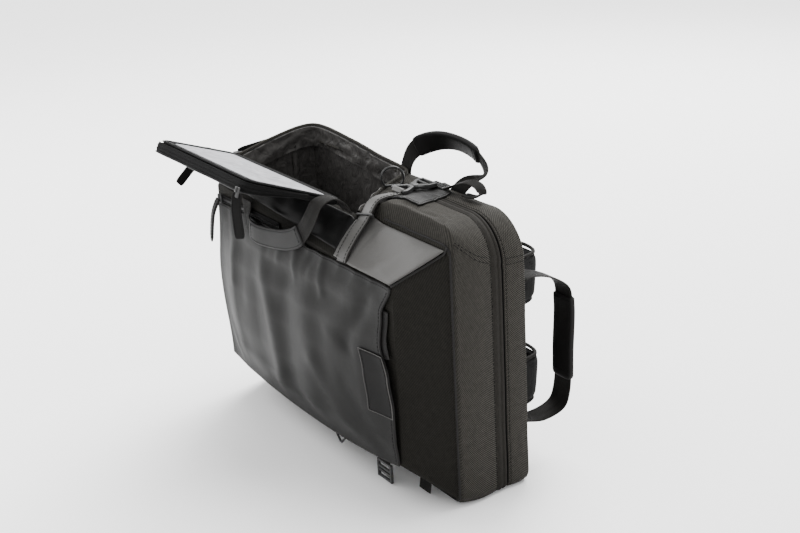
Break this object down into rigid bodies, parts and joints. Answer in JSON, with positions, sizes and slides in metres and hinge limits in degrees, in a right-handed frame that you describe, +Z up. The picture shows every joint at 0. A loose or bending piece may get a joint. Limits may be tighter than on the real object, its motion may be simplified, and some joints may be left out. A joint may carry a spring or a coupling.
{
  "type": "camera backpack",
  "caption": "Camera backpack lying on its long side with its padded camera hatch open on top, front pocket, strap, handles and shoulder straps.",
  "frame": {"origin": "centre of the side that the bag lies on, at the floor", "axes": "+X towards the worn top, +Y towards the wearer's side, +Z up as the bag lies"},
  "size_m": [0.4637, 0.3202, 0.3864],
  "materials": {
    "woven": "dense twill, matt",
    "coated": "coated fabric, satin",
    "lining": "crinkled lining",
    "pale_lining": "smooth pale lining",
    "leather": "smooth dark leather look",
    "webbing": "ribbed webbing",
    "zip": "zip tape and coil",
    "plastic": "moulded, matt",
    "metal": "dark painted metal",
    "mesh": "spacer mesh over foam"
  },
  "bodies": {
    "root": {"shell_front": "woven", "main_zip_band": "zip", "shell_back": "woven", "band_piping": "leather", "mouth_rim": "woven", "mouth_lining": "lining", "cell_wall": "lining", "hatch_flap": "coated", "flap_lining": "pale_lining", "flap_zip": "zip", "flap_lip": "coated", "hinge_panel": "coated", "slope_panel": "coated", "pocket_panel": "coated", "pocket_zip": "zip", "leather_tab": "leather", "pull_loop": "leather", "side_strap": "coated", "strap_keeper": "coated", "strap_patch": "coated", "buckle_male": "plastic", "buckle_female": "plastic", "strap_adjuster": "metal", "strap_tail": "webbing", "d_ring": "metal", "rear_handle": "webbing", "rear_handle_grip": "leather", "front_handle": "webbing", "front_handle_grip": "leather", "top_handle": "webbing", "top_handle_grip": "leather", "pull_mouth": "leather", "pull_pocket": "leather", "pull_flap_far": "leather", "pull_flap_near": "leather", "back_pad_top": "mesh", "back_pad_foot": "mesh", "shoulder_strap_upper": "mesh", "shoulder_strap_lower": "mesh", "shoulder_webbing_upper": "webbing", "shoulder_webbing_lower": "webbing", "lash_web": "webbing", "lash_ring": "metal", "lock_web": "webbing", "ladder_lock": "plastic", "foot_tail": "webbing"}
  },
  "joints": []
}
